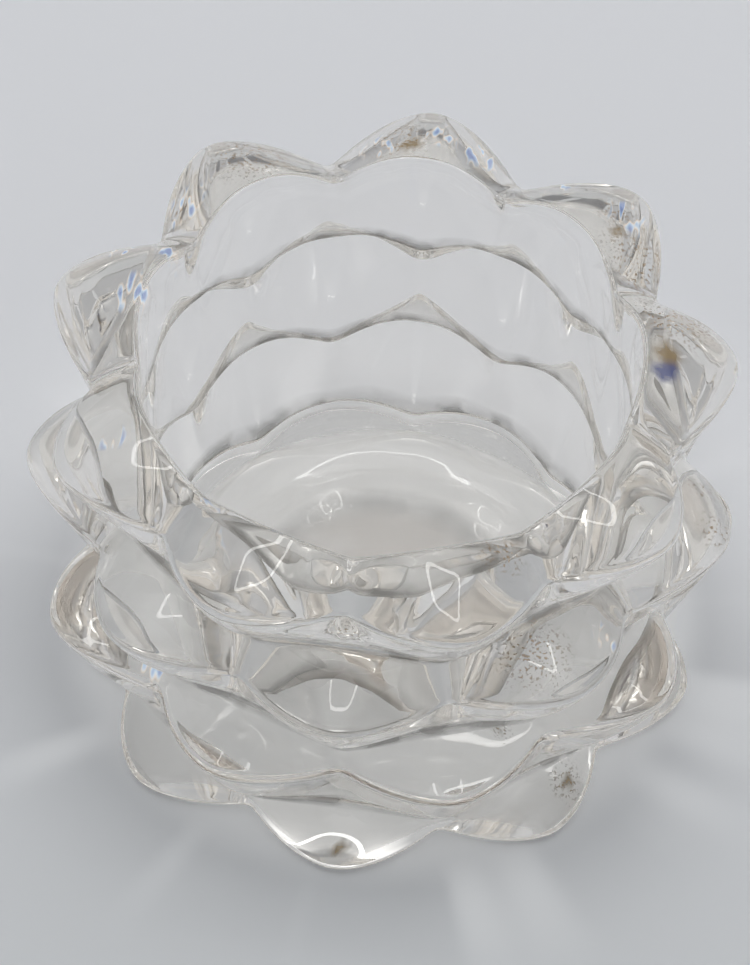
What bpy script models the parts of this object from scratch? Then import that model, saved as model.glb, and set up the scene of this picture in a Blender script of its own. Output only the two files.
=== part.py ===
"""Clear pressed-glass tealight holder: an open round bowl in four staggered tiers of pointed petals.

Metres, +Z up. The origin is the centre of the flat base, and a petal of the top tier points along +Y.
The holder is one glass moulding. Its half section, drawn from the bowl's floor over the rim and down
to the base, changes with the petals as it goes round, and the sections are joined into a closed skin.
"""

from collections import namedtuple
from math import cos, pi, sin, tan

import bmesh
import bpy
from mathutils import Matrix, Vector

MM = 0.001

# Petals: every tier has the same number, and each tier sits half a petal round from the one above.
PETALS = 9
PITCH = 2 * pi / PETALS
STEPS_PER_PETAL = 8
IN_LINE = 0.0
STAGGERED = 0.5
POINTEDNESS = 1.35

# Bowl: the flat floor takes a 38 mm tealight cup with room round it.
TOP_HEIGHT = 57.4 * MM
MOUTH_RADIUS = 32.8 * MM
MOUTH_NOTCH_RADIUS = 31.9 * MM
MOUTH_NOTCH_DEPTH = 2.7 * MM
FLOOR_THICKNESS = 4.0 * MM
BOWL_FOOT_RADIUS = 29.2 * MM

# Outside: the widest petals, and the creases between the tiers
WIDEST_RADIUS = 47.8 * MM
CREASE_RADIUS = 35.9 * MM

# Roundings of the moulding
RIM_ROUNDING = 0.6 * MM
BOWL_ROUNDING = 8.5 * MM
LIP_ROUNDING = 1.3 * MM
CREASE_ROUNDING = 0.5 * MM
FOOT_ROUNDING = 0.5 * MM

# How far the middle of the bowl's wall is hollowed behind a straight line up it, and how far the
# middle of each facet outside stands proud of a straight line across it, as shares of that line
WALL_HOLLOW = 0.015
TOP_BULGE = 0.055
FACE_BULGE = 0.05
UNDERSIDE_BULGE = 0.04

GLASS_COLOUR = (0.93, 0.94, 0.94, 1.0)
GLASS_ROUGHNESS = 0.02
GLASS_REFRACTION = 1.54

# A corner of the half section, where it would be before it is rounded. Its radius and height are
# given on a petal's centre line and in the valley between two petals. stagger says which petals those
# are, and form how the corner goes from one to the other. bulge belongs to the facet after the corner.
Corner = namedtuple(
    "Corner", "radius valley_radius height valley_height stagger form rounding steps bulge"
)


def pointed(offset):
    """From 1 on a petal's centre line to 0 in the valley, along a slightly bowed straight edge."""
    return 1 - offset**POINTEDNESS


def arched(offset):
    """From 1 on a petal's centre line to 0 in the valley, as an arch that meets the next in a cusp."""
    return cos(pi / 2 * offset)


def lip(radius, valley_radius, height, valley_height, stagger):
    """The pointed edge of one tier of petals."""
    return Corner(
        radius,
        valley_radius,
        height,
        valley_height,
        stagger,
        pointed,
        LIP_ROUNDING,
        2,
        UNDERSIDE_BULGE,
    )


def crease(height, cusp_height, stagger):
    """The arched crease under a tier, whose arches follow the petals of the tier below."""
    return Corner(
        CREASE_RADIUS,
        CREASE_RADIUS,
        height,
        cusp_height,
        stagger,
        arched,
        CREASE_ROUNDING,
        1,
        FACE_BULGE,
    )


def bowl_corners():
    """The plain circle round the bowl's foot and the scalloped rim of its mouth."""
    foot = Corner(
        BOWL_FOOT_RADIUS,
        BOWL_FOOT_RADIUS,
        FLOOR_THICKNESS,
        FLOOR_THICKNESS,
        IN_LINE,
        arched,
        BOWL_ROUNDING,
        7,
        -WALL_HOLLOW,
    )
    rim = Corner(
        MOUTH_RADIUS,
        MOUTH_NOTCH_RADIUS,
        TOP_HEIGHT,
        TOP_HEIGHT - MOUTH_NOTCH_DEPTH,
        IN_LINE,
        arched,
        RIM_ROUNDING,
        2,
        TOP_BULGE,
    )
    return [foot, rim]


def petal_corners():
    """The four lips and the three creases between them, from the top tier down."""
    foot_lip = lip(43.7 * MM, 37.4 * MM, 1.8 * MM, 1.5 * MM, STAGGERED)
    return [
        lip(46.2 * MM, 38.6 * MM, 53.0 * MM, 50.3 * MM, IN_LINE),
        crease(40.8 * MM, 37.7 * MM, STAGGERED),
        lip(WIDEST_RADIUS, 40.2 * MM, 36.8 * MM, 33.6 * MM, STAGGERED),
        crease(22.9 * MM, 19.2 * MM, IN_LINE),
        lip(WIDEST_RADIUS, 40.0 * MM, 21.6 * MM, 18.6 * MM, IN_LINE),
        crease(6.8 * MM, 2.9 * MM, STAGGERED),
        foot_lip._replace(rounding=FOOT_ROUNDING),
    ]


def base_corner():
    """The edge of the flat base, just inside the lowest lip."""
    return Corner(41.6 * MM, 35.6 * MM, 0.0, 0.0, STAGGERED, pointed, FOOT_ROUNDING, 1, 0.0)


def corner_place(corner, azimuth):
    """Where a corner is in the half plane at an azimuth, as (distance from the axis, height)."""
    turns = azimuth / PITCH - corner.stagger
    offset = 2 * abs(turns - round(turns))
    share = corner.form(offset)
    radius = corner.valley_radius + (corner.radius - corner.valley_radius) * share
    height = corner.valley_height + (corner.height - corner.valley_height) * share
    return Vector((radius, height))


def rounded(before, place, after, rounding, steps):
    """The points of the arc that rounds a corner."""
    arriving = (place - before).normalized()
    leaving = (after - place).normalized()
    turn = arriving.angle_signed(leaving)
    side = 1 if turn < 0 else -1
    start = place - arriving * rounding * tan(abs(turn) / 2)
    centre = start + Vector((-arriving.y, arriving.x)) * rounding * side
    spoke = start - centre
    return [
        centre + Matrix.Rotation(-turn * step / steps, 2) @ spoke for step in range(steps + 1)
    ]


def facet_middle(start, end, bulge):
    """The middle of a facet that stands proud of the glass by its bulge."""
    across = end - start
    return (start + end) / 2 + Vector((-across.y, across.x)) * bulge


def half_section(corners, azimuth):
    """The half section at an azimuth, from the edge of the bowl's floor to the edge of the base."""
    places = [corner_place(corner, azimuth) for corner in corners]
    floor_centre = Vector((0.0, places[0].y))
    base_centre = Vector((0.0, places[-1].y))
    stops = [floor_centre, *places, base_centre]
    points = []
    bulge = 0.0
    for index, corner in enumerate(corners):
        arc = rounded(*stops[index : index + 3], corner.rounding, corner.steps)
        if points:
            points.append(facet_middle(points[-1], arc[0], bulge))
        points += arc
        bulge = corner.bulge
    return points


def holder_mesh():
    """The closed skin of the holder: sections joined all round, with a flat floor and a flat base."""
    corners = [*bowl_corners(), *petal_corners(), base_corner()]
    around = PETALS * STEPS_PER_PETAL
    skin = bmesh.new()
    sections = []
    for step in range(around):
        azimuth = 2 * pi * step / around
        points = half_section(corners, azimuth)
        sections.append(
            [skin.verts.new((p.x * sin(azimuth), p.x * cos(azimuth), p.y)) for p in points]
        )
    for here, there in zip(sections, sections[1:] + sections[:1]):
        for level in range(len(here) - 1):
            skin.faces.new((here[level], here[level + 1], there[level + 1], there[level]))
    skin.faces.new([section[0] for section in sections])
    skin.faces.new([section[-1] for section in sections])
    bmesh.ops.recalc_face_normals(skin, faces=skin.faces)
    mesh = bpy.data.meshes.new("glass_holder")
    skin.to_mesh(mesh)
    skin.free()
    return mesh


def clear_glass():
    """Clear, colourless glass with a fire-polished surface."""
    material = bpy.data.materials.new("clear_glass")
    material.use_nodes = True
    shader = material.node_tree.nodes["Principled BSDF"]
    shader.inputs["Base Color"].default_value = GLASS_COLOUR
    shader.inputs["Metallic"].default_value = 0.0
    shader.inputs["Roughness"].default_value = GLASS_ROUGHNESS
    shader.inputs["IOR"].default_value = GLASS_REFRACTION
    shader.inputs["Transmission Weight"].default_value = 1.0
    return material


def build():
    """Clears the scene and makes the holder."""
    for thing in list(bpy.data.objects):
        bpy.data.objects.remove(thing)
    mesh = holder_mesh()
    mesh.materials.append(clear_glass())
    mesh.shade_smooth()
    mesh.set_sharp_from_angle(angle=pi / 6)
    holder = bpy.data.objects.new("glass_holder", mesh)
    bpy.context.scene.collection.objects.link(holder)


build()
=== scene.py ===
"""Looks of the clear glass tealight holder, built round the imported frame.

The holder is one piece of pressed crystal. Its fine surface repeats the frame's half section with many
more steps, softened petal edges and the faint waves of moulded glass. Lengths are in MM, a unit that
is a thousandth of a metre at the holder's design size and is worked out from the frame.
"""

from collections import namedtuple
from math import asin, cos, pi, radians, sin, tan

import bmesh
import bpy
import numpy as np
from mathutils import Matrix, Vector, noise


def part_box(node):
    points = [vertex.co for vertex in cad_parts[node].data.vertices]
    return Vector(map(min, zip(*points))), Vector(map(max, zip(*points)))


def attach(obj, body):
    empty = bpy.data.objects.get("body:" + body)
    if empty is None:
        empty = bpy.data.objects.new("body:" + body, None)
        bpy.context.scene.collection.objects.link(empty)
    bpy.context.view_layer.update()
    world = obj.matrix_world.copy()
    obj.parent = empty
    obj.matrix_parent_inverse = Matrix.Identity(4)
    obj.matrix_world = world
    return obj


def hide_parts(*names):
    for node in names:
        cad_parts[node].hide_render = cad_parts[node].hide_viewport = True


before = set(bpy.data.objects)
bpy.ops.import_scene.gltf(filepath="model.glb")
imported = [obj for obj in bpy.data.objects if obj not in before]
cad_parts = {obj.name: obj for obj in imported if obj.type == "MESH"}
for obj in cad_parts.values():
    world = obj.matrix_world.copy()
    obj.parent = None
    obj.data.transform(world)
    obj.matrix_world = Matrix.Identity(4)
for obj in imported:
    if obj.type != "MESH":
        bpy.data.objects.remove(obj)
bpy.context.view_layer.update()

NODE = "glass_holder"

# The frame's own size sets the unit, so every length below follows it.
DESIGN_WIDTH = 93.75
node_low, node_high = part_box(NODE)
MM = (node_high.y - node_low.y) / DESIGN_WIDTH
BASE_HEIGHT = node_low.z

# Petals
PETALS = 9
PITCH = 2 * pi / PETALS
STEPS_PER_PETAL = 40
IN_LINE = 0.0
STAGGERED = 0.5
POINTEDNESS = 1.35
EDGE_SOFTNESS = 0.975

# Bowl
TOP_HEIGHT = 57.4 * MM
MOUTH_RADIUS = 32.8 * MM
MOUTH_NOTCH_RADIUS = 31.9 * MM
MOUTH_NOTCH_DEPTH = 2.7 * MM
FLOOR_THICKNESS = 4.0 * MM
BOWL_FOOT_RADIUS = 29.2 * MM

# Outside
WIDEST_RADIUS = 47.8 * MM
CREASE_RADIUS = 35.9 * MM

# Roundings of the moulding
RIM_ROUNDING = 0.6 * MM
BOWL_ROUNDING = 8.5 * MM
LIP_ROUNDING = 1.3 * MM
CREASE_ROUNDING = 0.5 * MM
FOOT_ROUNDING = 0.5 * MM

# How far the middle of the bowl's wall is hollowed behind a straight line up it, and how far the
# middle of each facet outside stands proud of a straight line across it, as shares of that line
WALL_HOLLOW = 0.015
TOP_BULGE = 0.055
FACE_BULGE = 0.05
UNDERSIDE_BULGE = 0.04
FACET_STEPS = 10

# Faint waves that pressing leaves in the surface, and finer ones on top of them
WAVE_HEIGHT = 0.05 * MM
WAVE_LENGTH = 9.0 * MM
RIPPLE_HEIGHT = 0.02 * MM
RIPPLE_LENGTH = 3.0 * MM

# A corner of the half section, where it would be before it is rounded. Its radius and height are
# given on a petal's centre line and in the valley between two petals. stagger says which petals those
# are, and form how the corner goes from one to the other. bulge belongs to the facet after the corner.
Corner = namedtuple(
    "Corner", "radius valley_radius height valley_height stagger form rounding steps bulge"
)


def pointed(offset):
    """From 1 on a petal's centre line to 0 in the valley, along a slightly bowed straight edge."""
    return 1 - offset**POINTEDNESS


def arched(offset):
    """From 1 on a petal's centre line to 0 in the valley, as an arch that meets the next in a cusp."""
    return cos(pi / 2 * offset)


def lip(radius, valley_radius, height, valley_height, stagger):
    """The pointed edge of one tier of petals."""
    return Corner(
        radius,
        valley_radius,
        height,
        valley_height,
        stagger,
        pointed,
        LIP_ROUNDING,
        8,
        UNDERSIDE_BULGE,
    )


def crease(height, cusp_height, stagger):
    """The arched crease under a tier, whose arches follow the petals of the tier below."""
    return Corner(
        CREASE_RADIUS,
        CREASE_RADIUS,
        height,
        cusp_height,
        stagger,
        arched,
        CREASE_ROUNDING,
        4,
        FACE_BULGE,
    )


def bowl_corners():
    """The plain circle round the bowl's foot and the scalloped rim of its mouth."""
    foot = Corner(
        BOWL_FOOT_RADIUS,
        BOWL_FOOT_RADIUS,
        FLOOR_THICKNESS,
        FLOOR_THICKNESS,
        IN_LINE,
        arched,
        BOWL_ROUNDING,
        24,
        -WALL_HOLLOW,
    )
    rim = Corner(
        MOUTH_RADIUS,
        MOUTH_NOTCH_RADIUS,
        TOP_HEIGHT,
        TOP_HEIGHT - MOUTH_NOTCH_DEPTH,
        IN_LINE,
        arched,
        RIM_ROUNDING,
        6,
        TOP_BULGE,
    )
    return [foot, rim]


def petal_corners():
    """The four lips and the three creases between them, from the top tier down."""
    foot_lip = lip(43.7 * MM, 37.4 * MM, 1.8 * MM, 1.5 * MM, STAGGERED)
    return [
        lip(46.2 * MM, 38.6 * MM, 53.0 * MM, 50.3 * MM, IN_LINE),
        crease(40.8 * MM, 37.7 * MM, STAGGERED),
        lip(WIDEST_RADIUS, 40.2 * MM, 36.8 * MM, 33.6 * MM, STAGGERED),
        crease(22.9 * MM, 19.2 * MM, IN_LINE),
        lip(WIDEST_RADIUS, 40.0 * MM, 21.6 * MM, 18.6 * MM, IN_LINE),
        crease(6.8 * MM, 2.9 * MM, STAGGERED),
        foot_lip._replace(rounding=FOOT_ROUNDING),
    ]


def base_corner():
    """The edge of the flat base, just inside the lowest lip."""
    return Corner(41.6 * MM, 35.6 * MM, 0.0, 0.0, STAGGERED, pointed, FOOT_ROUNDING, 4, 0.0)


def from_centre_line(azimuth, stagger):
    """0 on a petal's centre line and 1 in the valley, turning softly at both."""
    turns = azimuth / PITCH - stagger
    wave = EDGE_SOFTNESS * cos(2 * pi * turns)
    return 0.5 - asin(wave) / (2 * asin(EDGE_SOFTNESS))


def corner_place(corner, azimuth):
    """Where a corner is in the half plane at an azimuth, as (distance from the axis, height)."""
    share = corner.form(from_centre_line(azimuth, corner.stagger))
    radius = corner.valley_radius + (corner.radius - corner.valley_radius) * share
    height = corner.valley_height + (corner.height - corner.valley_height) * share
    return Vector((radius, height + BASE_HEIGHT))


def rounded(before, place, after, rounding, steps):
    """The points of the arc that rounds a corner."""
    arriving = (place - before).normalized()
    leaving = (after - place).normalized()
    turn = arriving.angle_signed(leaving)
    side = 1 if turn < 0 else -1
    start = place - arriving * rounding * tan(abs(turn) / 2)
    centre = start + Vector((-arriving.y, arriving.x)) * rounding * side
    spoke = start - centre
    return [
        centre + Matrix.Rotation(-turn * step / steps, 2) @ spoke for step in range(steps + 1)
    ]


def facet(start, end, bulge):
    """The points across a facet that stands proud of the glass by its bulge."""
    across = end - start
    outward = Vector((-across.y, across.x))
    points = []
    for step in range(1, FACET_STEPS):
        share = step / FACET_STEPS
        points.append(start.lerp(end, share) + outward * bulge * 4 * share * (1 - share))
    return points


def half_section(corners, azimuth):
    """The half section at an azimuth, from the edge of the bowl's floor to the edge of the base."""
    places = [corner_place(corner, azimuth) for corner in corners]
    floor_centre = Vector((0.0, places[0].y))
    base_centre = Vector((0.0, places[-1].y))
    stops = [floor_centre, *places, base_centre]
    points = []
    bulge = 0.0
    for index, corner in enumerate(corners):
        arc = rounded(*stops[index : index + 3], corner.rounding, corner.steps)
        if points:
            points += facet(points[-1], arc[0], bulge)
        points += arc
        bulge = corner.bulge
    return points


def crease_shade_marks(corners):
    """For each point of a half section, how much painted crease shade it takes."""
    marks = []
    for corner in corners:
        in_crease = corner.bulge == FACE_BULGE
        beside = CREASE_SHADE_BESIDE if in_crease and corner.height < LOW_CREASE else 0.0
        if marks:
            marks += [0.0] * (FACET_STEPS - 2) + [beside]
        marks += [float(in_crease)] * (corner.steps + 1)
    return marks


def holder_mesh(name):
    """The closed fine skin of the holder, with a flat floor and a flat base."""
    corners = [*bowl_corners(), *petal_corners(), base_corner()]
    around = PETALS * STEPS_PER_PETAL
    skin = bmesh.new()
    sections = []
    for step in range(around):
        azimuth = 2 * pi * step / around
        points = half_section(corners, azimuth)
        sections.append(
            [skin.verts.new((p.x * sin(azimuth), p.x * cos(azimuth), p.y)) for p in points]
        )
    for here, there in zip(sections, sections[1:] + sections[:1]):
        for level in range(len(here) - 1):
            skin.faces.new((here[level], here[level + 1], there[level + 1], there[level]))
    skin.faces.new([section[0] for section in sections])
    skin.faces.new([section[-1] for section in sections])
    bmesh.ops.recalc_face_normals(skin, faces=skin.faces)
    add_waves(skin)
    mesh = bpy.data.meshes.new(name)
    skin.to_mesh(mesh)
    skin.free()
    mesh.shade_smooth()
    add_values(mesh, "crease", crease_shade_marks(corners) * around)
    add_patch_values(mesh)
    return mesh


def add_values(mesh, name, values):
    """Gives each vertex a named value, for the material to read."""
    attribute = mesh.attributes.new(name, "FLOAT", "POINT")
    attribute.data.foreach_set("value", values)


def add_patch_values(mesh):
    """Values for the patches of residue, marks and fire."""
    places = uneven_places(mesh)
    outside = np.hypot(places[:, 0], places[:, 1]) > WIPED_RADIUS
    residue = nearness(places, RESIDUE_PATCHES) * SPECK_GAIN
    add_values(mesh, "residue", np.clip(residue, 0, 1) * outside)
    add_values(mesh, "burn", np.clip(nearness(places, BURN_MARKS) * MARK_GAIN, 0, 1))
    add_values(mesh, "tint", np.clip(nearness(places, TINT_MARKS) * MARK_GAIN, 0, 1))
    add_values(mesh, "fire", np.clip(nearness(places, FIRE_PATCHES) * FIRE_GAIN, 0, 1))


def uneven_places(mesh):
    """The vertices' places in millimetres over the base, each moved a little to and fro."""
    places = []
    for vert in mesh.vertices:
        shift = noise.noise_vector(vert.co / UNEVEN_GRAIN) * UNEVEN_SHIFT
        places.append((vert.co + shift - Vector((0, 0, BASE_HEIGHT))) / MM)
    return np.array(places)


def nearness(places, patches):
    """For each place, 1 in the middle of a patch and 0 at its reach and beyond."""
    nearest = np.zeros(len(places))
    for azimuth, radius, height, reach in patches:
        turn = radians(azimuth)
        middle = np.array((radius * sin(turn), radius * cos(turn), height))
        gaps = np.linalg.norm(places - middle, axis=1)
        nearest = np.maximum(nearest, 1 - gaps / reach)
    return nearest


def add_waves(skin):
    """Moves the skin in and out a little along its normals, except on the flat base and floor."""
    skin.normal_update()
    flat_heights = (BASE_HEIGHT, BASE_HEIGHT + FLOOR_THICKNESS)
    for vert in skin.verts:
        if any(abs(vert.co.z - height) < 0.01 * MM for height in flat_heights):
            continue
        wave = WAVE_HEIGHT * noise.noise(vert.co / WAVE_LENGTH)
        ripple = RIPPLE_HEIGHT * noise.noise(vert.co / RIPPLE_LENGTH)
        vert.co += vert.normal * (wave + ripple)


# Materials -------------------------------------------------------------------------------------

REFRACTION = 1.545
GLASS_TONE = (0.997, 0.993, 0.985)

# Light that has been turned inside the glass more often than this comes out as an even soft tone.
INNER_TURNS = 9.0
INNER_TONE = (0.60, 0.585, 0.57)

# Painted shade in the creases, a grey that darkens the crease lines: its tone, the grain of its
# patches, and the least and added cover
CREASE_SHADE_TONE = (0.36, 0.35, 0.33)
CREASE_SHADE_GRAIN = 5.0 * MM
CREASE_SHADE_LIMITS = (0.42, 0.62)
CREASE_SHADE_LEAST = 0.24
CREASE_SHADE_CHANGE = 0.42
# The lowest crease, where the painted shade also spreads to the glass beside it
LOW_CREASE = 10 * MM
CREASE_SHADE_BESIDE = 0.6

# A brown stain of candle residue on the bowl's floor, with painted shade as a dark grey ring at its
# edge: by distance from the axis up to its radius, its tones and how much of the floor they cover
STAIN_AND_SHADE_RADIUS = 19.6 * MM
STAIN_AND_SHADE_TONES = ((0.0, (0.50, 0.40, 0.33)), (0.70, (0.46, 0.38, 0.32)), (0.84, (0.22, 0.22, 0.22)))
STAIN_AND_SHADE_COVERS = ((0.0, 0.20), (0.70, 0.24), (0.86, 0.36), (0.92, 0.26), (1.0, 0.0))
STAIN_AND_SHADE_GRAIN = 9.0 * MM
STAIN_AND_SHADE_LIMITS = (0.35, 0.65)
STAIN_AND_SHADE_LEAST = 0.6
FLOOR_REACH = 0.3 * MM
# Patches of residue, marks and fire. Each has an azimuth in degrees from +Y towards +X, and a distance
# from the axis, a height and a reach in millimetres. It fades from its middle to nothing at its reach,
# and its outline is uneven.
UNEVEN_GRAIN = 2.0 * MM
UNEVEN_SHIFT = 1.1 * MM

# Fine specks of candle residue. The bowl itself has been wiped clean.
RESIDUE_TONE = (0.30, 0.20, 0.11)
RESIDUE_COVER = 0.65
SPECK_GRAIN = 0.42 * MM
SPECK_LIMITS = (0.55, 0.66)
SPECK_GAIN = 2.0
WIPED_RADIUS = 33.5
RESIDUE_PATCHES = (
    (-6, 37, 56, 5),
    (-36, 39, 55, 7),
    (-54, 38, 53, 3),
    (42, 39, 56, 3),
    (54, 38, 55, 7),
    (70, 38, 56, 8),
    (92, 42, 38, 3),
    (100, 45, 38, 3),
    (144, 40, 39, 6),
    (148, 35, 55, 4),
    (148, 38, 21, 1.6),
    (133, 39, 4, 3.2),
    (179, 39, 46, 4),
    (-165, 38, 46, 4),
)

# Burn marks, and the blue heat tint beside one of them
BURN_TONE = (0.26, 0.17, 0.06)
BURN_MARKS = (
    (82, 36, 57, 2.6),
    (133, 39, 4, 1.2),
    (149, 38, 21, 1.1),
    (-3, 36, 57, 1.8),
    (179, 41.3, 3.8, 1.0),
    (46, 37, 56, 1.4),
)
TINT_TONE = (0.06, 0.08, 0.24)
TINT_MARKS = ((86.5, 36, 56.5, 2.2),)
MARK_GAIN = 2.2
MARK_COVER = 0.8

# The fire of crystal, painted as glowing chips of split light, orange round blue, in some patches
FIRE_GRAIN = 1.3 * MM
FIRE_SQUEEZE = (1.6, 0.45, 0.6)
FIRE_LIMITS = (0.50, 0.60)
FIRE_GAIN = 2.5
FIRE_COVER = 0.6
FIRE_PATCHES = (
    (-80, 34.5, 57, 2.5),
    (-84, 34.0, 57, 3.0),
    (-53, 38, 53.5, 3.5),
    (-66, 34, 55.5, 2.0),
    (-70, 39.5, 54, 2.5),
    (-10, 36.5, 55.5, 3.0),
    (2.4, 38.8, 56, 3.0),
    (11, 38, 55, 3.5),
    (28, 38.3, 54, 3.0),
    (44, 40, 55.3, 3.5),
    (130, 42.4, 37.2, 2.0),
    (-136, 38.5, 20, 3.0),
    (-121, 38, 56.3, 2.0),
)
FIRE_TONES = (
    (0.50, (0.84, 0.62, 0.44)),
    (0.57, (0.90, 0.76, 0.63)),
    (0.62, (0.80, 0.86, 0.92)),
    (0.67, (0.46, 0.64, 0.86)),
    (0.75, (0.18, 0.28, 0.58)),
)

# Paper, darker towards the front as painted shade, and painted light on it: a glow under and behind
# the glass and streaks beside it
PAPER_SHADE_FADE = (-90 * MM, 60 * MM)
PAPER_SHADE_TONES = ((0.0, (0.66, 0.68, 0.70)), (1.0, (0.80, 0.81, 0.84)))
GLOW = (0.17, 0.28)
GLOW_FADE = (-30 * MM, 15 * MM)
GLOW_END = (46 * MM, 38 * MM)
BEHIND_GLOW = 0.08
BEHIND_START = (-10 * MM, 25 * MM)
BEHIND_INNER = (38 * MM, 46 * MM)
BEHIND_OUTER = (80 * MM, 48 * MM)
STREAK_GLOW = 0.12
STREAK_SCALE = 3.0
STREAK_TONES = (0.52, 0.68)
STREAK_START = (40 * MM, 46 * MM)
STREAK_END = (66 * MM, 46 * MM)


def add_node(tree, kind, **inputs):
    """A shader node with some of its inputs set."""
    node = tree.nodes.new(kind)
    for key, value in inputs.items():
        node.inputs[key.replace("_", " ")].default_value = value
    return node


def add_ramp(tree, value, tones):
    """A colour that follows a value through the given tones, which may be brighter than white."""
    ramp = tree.nodes.new("ShaderNodeValToRGB")
    stops = ramp.color_ramp.elements
    while len(stops) < len(tones):
        stops.new(0.5)
    for stop, (position, tone) in zip(stops, tones):
        stop.position = position
        stop.color = (*tone, 1.0)
    tree.links.new(value, ramp.inputs["Fac"])
    return ramp.outputs["Color"]


def add_fade(tree, value, limits):
    """0 at the first limit and 1 at the second, with a smooth change between them."""
    fade = add_node(tree, "ShaderNodeMapRange", From_Min=limits[0], From_Max=limits[1])
    fade.interpolation_type = "SMOOTHSTEP"
    tree.links.new(value, fade.inputs["Value"])
    return fade.outputs["Result"]


def add_maths(tree, operation, first, second=0.0):
    """The result of a sum on two values, each a number or another node's output."""
    sum_node = tree.nodes.new("ShaderNodeMath")
    sum_node.operation = operation
    for socket, value in zip(sum_node.inputs, (first, second)):
        if isinstance(value, (int, float)):
            socket.default_value = value
        else:
            tree.links.new(value, socket)
    return sum_node.outputs["Value"]


def add_distance(tree, parts):
    """The distance from the holder's axis of a place given by its separate coordinates."""
    across = add_maths(tree, "POWER", parts.outputs["X"], 2.0)
    along = add_maths(tree, "POWER", parts.outputs["Y"], 2.0)
    return add_maths(tree, "SQRT", add_maths(tree, "ADD", across, along))


def crystal():
    """Clear colourless crystal with painted shade in its creases, candle residue and painted glints
    for its own fire.
    """
    material = bpy.data.materials.new("clear_crystal")
    material.use_nodes = True
    tree = material.node_tree
    tree.nodes.clear()
    glass = add_node(tree, "ShaderNodeBsdfGlass", Roughness=0.0, IOR=REFRACTION)
    glass.inputs["Color"].default_value = (*GLASS_TONE, 1.0)
    place = tree.nodes.new("ShaderNodeNewGeometry").outputs["Position"]
    surface = add_floor_stain_and_shade(tree, place, glass.outputs[0])
    # Layers of diffuse colour: painted shade in the creases, then real candle residue, burn marks and
    # heat tint
    for cover, tone in (
        (crease_shade(tree, place), CREASE_SHADE_TONE),
        (residue_specks(tree, place), RESIDUE_TONE),
        (add_maths(tree, "MULTIPLY", vertex_value(tree, "burn"), MARK_COVER), BURN_TONE),
        (add_maths(tree, "MULTIPLY", vertex_value(tree, "tint"), MARK_COVER), TINT_TONE),
    ):
        dirt_and_shade = add_node(tree, "ShaderNodeBsdfDiffuse", Color=(*tone, 1.0))
        surface = add_layer(tree, surface, dirt_and_shade, cover)
    surface = add_painted_fire(tree, place, surface)
    output = tree.nodes.new("ShaderNodeOutputMaterial")
    tree.links.new(add_inner_light(tree, surface), output.inputs["Surface"])
    return material


def add_layer(tree, surface, shader, cover):
    """A surface partly covered by another shader."""
    layer = tree.nodes.new("ShaderNodeMixShader")
    tree.links.new(cover, layer.inputs["Fac"])
    tree.links.new(surface, layer.inputs[1])
    tree.links.new(shader.outputs[0], layer.inputs[2])
    return layer.outputs[0]


def add_inner_light(tree, surface):
    """The soft tone of light that is caught inside the glass, in place of endless reflections."""
    turns = tree.nodes.new("ShaderNodeLightPath").outputs["Ray Depth"]
    soft = add_node(tree, "ShaderNodeEmission", Color=(*INNER_TONE, 1.0))
    return add_layer(tree, surface, soft, add_maths(tree, "GREATER_THAN", turns, INNER_TURNS))


def vertex_value(tree, name):
    """A value that the mesh carries on its vertices."""
    value = tree.nodes.new("ShaderNodeAttribute")
    value.attribute_name = name
    return value.outputs["Fac"]


def add_painted_fire(tree, place, surface):
    """Painted glints: glowing chips of split light over a surface."""
    drawn_out = tree.nodes.new("ShaderNodeVectorMath")
    drawn_out.operation = "MULTIPLY"
    drawn_out.inputs[1].default_value = FIRE_SQUEEZE
    tree.links.new(place, drawn_out.inputs[0])
    pattern = add_node(tree, "ShaderNodeTexNoise", Scale=1 / FIRE_GRAIN, Detail=0.0)
    tree.links.new(drawn_out.outputs["Vector"], pattern.inputs["Vector"])
    chips = add_fade(tree, pattern.outputs["Fac"], FIRE_LIMITS)
    cover = add_maths(tree, "MULTIPLY", chips, vertex_value(tree, "fire"))
    light = tree.nodes.new("ShaderNodeEmission")
    tree.links.new(add_ramp(tree, pattern.outputs["Fac"], FIRE_TONES), light.inputs["Color"])
    return add_layer(tree, surface, light, add_maths(tree, "MULTIPLY", cover, FIRE_COVER))


def add_noise(tree, place, grain, detail, limits):
    """Blotches of about the given grain in length, from 0 to 1 with the fade between the limits."""
    blotches = add_node(tree, "ShaderNodeTexNoise", Scale=1 / grain, Detail=detail)
    tree.links.new(place, blotches.inputs["Vector"])
    return add_fade(tree, blotches.outputs["Fac"], limits)


def crease_shade(tree, place):
    """How much of a crease is covered by the grey painted shade that darkens it."""
    patches = add_noise(tree, place, CREASE_SHADE_GRAIN, 1.0, CREASE_SHADE_LIMITS)
    share = add_maths(tree, "MULTIPLY", patches, CREASE_SHADE_CHANGE)
    cover = add_maths(tree, "ADD", share, CREASE_SHADE_LEAST)
    return add_maths(tree, "MULTIPLY", cover, vertex_value(tree, "crease"))


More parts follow.
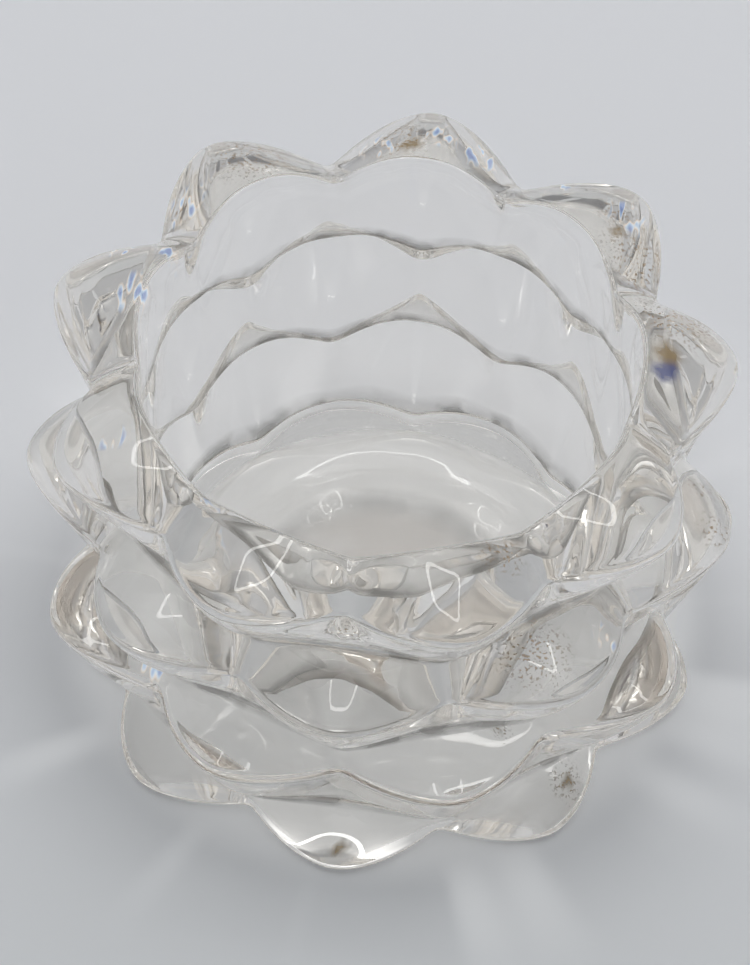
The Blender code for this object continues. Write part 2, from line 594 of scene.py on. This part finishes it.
def add_floor_stain_and_shade(tree, place, surface):
    """A brown stain of candle residue on the bowl's floor, with a ring of painted shade at its dark
    edge.
    """
    parts = tree.nodes.new("ShaderNodeSeparateXYZ")
    tree.links.new(place, parts.inputs["Vector"])
    share = add_maths(tree, "DIVIDE", add_distance(tree, parts), STAIN_AND_SHADE_RADIUS)
    height = add_maths(tree, "SUBTRACT", parts.outputs["Z"], BASE_HEIGHT + FLOOR_THICKNESS)
    on_floor = add_maths(tree, "LESS_THAN", add_maths(tree, "ABSOLUTE", height), FLOOR_REACH)
    blotches = add_noise(tree, place, STAIN_AND_SHADE_GRAIN, 1.0, STAIN_AND_SHADE_LIMITS)
    uneven = add_maths(tree, "MULTIPLY", blotches, 1 - STAIN_AND_SHADE_LEAST)
    uneven = add_maths(tree, "ADD", uneven, STAIN_AND_SHADE_LEAST)
    covers = [(stop, (cover, cover, cover)) for stop, cover in STAIN_AND_SHADE_COVERS]
    cover = add_maths(tree, "MULTIPLY", add_ramp(tree, share, covers), on_floor)
    stain_and_shade = tree.nodes.new("ShaderNodeBsdfDiffuse")
    tree.links.new(add_ramp(tree, share, STAIN_AND_SHADE_TONES), stain_and_shade.inputs["Color"])
    return add_layer(tree, surface, stain_and_shade, add_maths(tree, "MULTIPLY", cover, uneven))


def residue_specks(tree, place):
    """Fine brown specks of candle residue, gathered in a few patches outside the bowl."""
    grains = add_noise(tree, place, SPECK_GRAIN, 1.0, SPECK_LIMITS)
    cover = add_maths(tree, "MULTIPLY", grains, vertex_value(tree, "residue"))
    return add_maths(tree, "MULTIPLY", cover, RESIDUE_COVER)


def paper():
    """Smooth pale backdrop paper, darker towards the front as painted shade, with painted light for
    what the glass gathers on it.
    """
    material = bpy.data.materials.new("backdrop_paper")
    material.use_nodes = True
    tree = material.node_tree
    shader = tree.nodes["Principled BSDF"]
    shader.inputs["Roughness"].default_value = 0.9
    place = tree.nodes.new("ShaderNodeNewGeometry").outputs["Position"]
    parts = tree.nodes.new("ShaderNodeSeparateXYZ")
    tree.links.new(place, parts.inputs["Vector"])
    # Painted shade: the paper's colour darkens towards the front, where less light falls
    back = add_fade(tree, parts.outputs["Y"], PAPER_SHADE_FADE)
    tree.links.new(add_ramp(tree, back, PAPER_SHADE_TONES), shader.inputs["Base Color"])
    shader.inputs["Emission Color"].default_value = (1.0, 1.0, 0.98, 1.0)
    tree.links.new(gathered_light(tree, place, parts), shader.inputs["Emission Strength"])
    return material


def gathered_light(tree, place, parts):
    """A painted glow under the glass and behind it, and painted streaks of light that the petals throw
    outside.
    """
    distance = add_distance(tree, parts)
    further = add_fade(tree, parts.outputs["Y"], GLOW_FADE)
    glow = add_maths(tree, "MULTIPLY", further, GLOW[1] - GLOW[0])
    glow = add_maths(tree, "ADD", glow, GLOW[0])
    glow = add_maths(tree, "MULTIPLY", glow, add_fade(tree, distance, GLOW_END))
    behind = add_fade(tree, parts.outputs["Y"], BEHIND_START)
    for limits in (BEHIND_INNER, BEHIND_OUTER):
        behind = add_maths(tree, "MULTIPLY", behind, add_fade(tree, distance, limits))
    glow = add_maths(tree, "ADD", glow, add_maths(tree, "MULTIPLY", behind, BEHIND_GLOW))
    direction = tree.nodes.new("ShaderNodeVectorMath")
    direction.operation = "NORMALIZE"
    tree.links.new(place, direction.inputs[0])
    pattern = add_node(tree, "ShaderNodeTexNoise", Scale=STREAK_SCALE, Detail=1.0)
    tree.links.new(direction.outputs["Vector"], pattern.inputs["Vector"])
    streak = add_fade(tree, pattern.outputs["Fac"], STREAK_TONES)
    for limits in (STREAK_START, STREAK_END):
        streak = add_maths(tree, "MULTIPLY", streak, add_fade(tree, distance, limits))
    streaks = add_maths(tree, "MULTIPLY", streak, STREAK_GLOW)
    return add_maths(tree, "ADD", glow, streaks)


# Stage -----------------------------------------------------------------------------------------

FLOOR_GAP = 0.15 * MM
FLOOR_SIZE = 3000 * MM
CAMERA_DISTANCE = 699.5 * MM
CAMERA_ELEVATION = radians(51.36)
CAMERA_TURN = radians(6.9)
CAMERA_ROLL = radians(1.57)
CAMERA_LENS = 196.8
AIM_HEIGHT = 29.4 * MM
AIM_SIDE = -1.2 * MM
# The square ring light over the holder: its half size and half width, seen as slopes from upright
RING_REACH = 0.25
RING_WIDTH = 0.022
RING_SQUARENESS = 5.0
RING_STRENGTH = 3.8

# The light tent, by the sine of the elevation that is looked towards
TENT_TONES = (
    (0.0, (0.46, 0.47, 0.49)),
    (0.4, (0.54, 0.55, 0.57)),
    (0.82, (0.60, 0.61, 0.62)),
    (0.92, (1.45, 1.45, 1.44)),
    (1.0, (1.60, 1.60, 1.58)),
)
TENT_STRENGTH = 0.85
# The open front of the tent, with the darker room behind it
OPENING_TONES = (
    (0.0, (1.0, 1.0, 1.0)),
    (0.3, (1.0, 0.86, 0.66)),
    (0.5, (0.68, 0.66, 0.65)),
    (0.7, (0.44, 0.52, 0.64)),
    (1.0, (0.40, 0.40, 0.41)),
)
OPENING_WIDTH = (0.60, 0.50)
OPENING_TOP = (0.55, 0.45)
OPENING_DEPTH = (0.30, 0.40)


def add_floor():
    """The pale surface that the holder stands on, which also fills the background."""
    mesh = bpy.data.meshes.new("floor")
    plane = bmesh.new()
    bmesh.ops.create_grid(plane, x_segments=1, y_segments=1, size=FLOOR_SIZE / 2)
    plane.to_mesh(mesh)
    plane.free()
    mesh.materials.append(paper())
    floor = bpy.data.objects.new("floor", mesh)
    floor.location.z = BASE_HEIGHT - FLOOR_GAP
    bpy.context.scene.collection.objects.link(floor)


def add_ring(tree, parts):
    """A bright square ring with rounded corners in the roof of the tent."""
    reach = 0.0
    for axis in "XY":
        slope = add_maths(tree, "DIVIDE", parts.outputs[axis], parts.outputs["Z"])
        away = add_maths(tree, "ABSOLUTE", slope)
        reach = add_maths(tree, "ADD", reach, add_maths(tree, "POWER", away, RING_SQUARENESS))
    size = add_maths(tree, "POWER", reach, 1 / RING_SQUARENESS)
    off_line = add_maths(tree, "ABSOLUTE", add_maths(tree, "SUBTRACT", size, RING_REACH))
    ring = add_fade(tree, off_line, (RING_WIDTH, RING_WIDTH / 2))
    up = add_maths(tree, "GREATER_THAN", parts.outputs["Z"], 0.0)
    return add_maths(tree, "MULTIPLY", add_maths(tree, "MULTIPLY", ring, up), RING_STRENGTH)


def add_tent():
    """The bright white surroundings of a light tent, brightest overhead and open at the front."""
    world = bpy.data.worlds.new("light_tent")
    bpy.context.scene.world = world
    world.use_nodes = True
    tree = world.node_tree
    direction = tree.nodes.new("ShaderNodeTexCoord")
    parts = tree.nodes.new("ShaderNodeSeparateXYZ")
    tree.links.new(direction.outputs["Generated"], parts.inputs["Vector"])
    walls = add_ramp(tree, parts.outputs["Z"], TENT_TONES)
    across = add_maths(tree, "ABSOLUTE", parts.outputs["X"])
    forward = add_maths(tree, "MULTIPLY", parts.outputs["Y"], -1.0)
    opening = add_fade(tree, across, OPENING_WIDTH)
    for value, limits in ((parts.outputs["Z"], OPENING_TOP), (forward, OPENING_DEPTH)):
        opening = add_maths(tree, "MULTIPLY", opening, add_fade(tree, value, limits))
    edges = add_ramp(tree, opening, OPENING_TONES)
    light = add_node(tree, "ShaderNodeMix")
    light.data_type = "RGBA"
    light.blend_type = "MULTIPLY"
    light.inputs["Factor"].default_value = 1.0
    tree.links.new(walls, light.inputs[6])
    tree.links.new(edges, light.inputs[7])
    ring = add_ring(tree, parts)
    background = tree.nodes["Background"]
    tree.links.new(light.outputs[2], background.inputs["Color"])
    strength = add_maths(tree, "ADD", ring, TENT_STRENGTH)
    tree.links.new(strength, background.inputs["Strength"])


def add_camera():
    """A long lens looking down into the bowl."""
    turn = Matrix.Rotation(CAMERA_TURN, 3, "Z")
    aim = turn @ Vector((AIM_SIDE, 0, 0)) + Vector((0, 0, BASE_HEIGHT + AIM_HEIGHT))
    back = turn @ Vector((0, -cos(CAMERA_ELEVATION), sin(CAMERA_ELEVATION)))
    data = bpy.data.cameras.new("camera")
    data.lens = CAMERA_LENS
    data.clip_start = 10 * MM
    data.clip_end = FLOOR_SIZE * 2
    camera = bpy.data.objects.new("camera", data)
    facing = (-back).to_track_quat("-Z", "Y").to_matrix() @ Matrix.Rotation(CAMERA_ROLL, 3, "Z")
    camera.matrix_world = Matrix.Translation(aim + back * CAMERA_DISTANCE) @ facing.to_4x4()
    bpy.context.scene.collection.objects.link(camera)
    bpy.context.scene.camera = camera


def add_holder():
    """The glass holder, in place of the frame's plain one."""
    mesh = holder_mesh("crystal_holder")
    mesh.materials.append(crystal())
    holder = bpy.data.objects.new("crystal_holder", mesh)
    bpy.context.scene.collection.objects.link(holder)
    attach(holder, "root")
    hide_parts(NODE)


def set_light_paths():
    """Enough bounces for light to find its way through the thick glass."""
    cycles = bpy.context.scene.cycles
    cycles.max_bounces = 24
    cycles.transmission_bounces = 24
    cycles.glossy_bounces = 12
    cycles.diffuse_bounces = 8
    bpy.context.scene.view_settings.view_transform = "Standard"


add_holder()
add_floor()
add_tent()
add_camera()
set_light_paths()
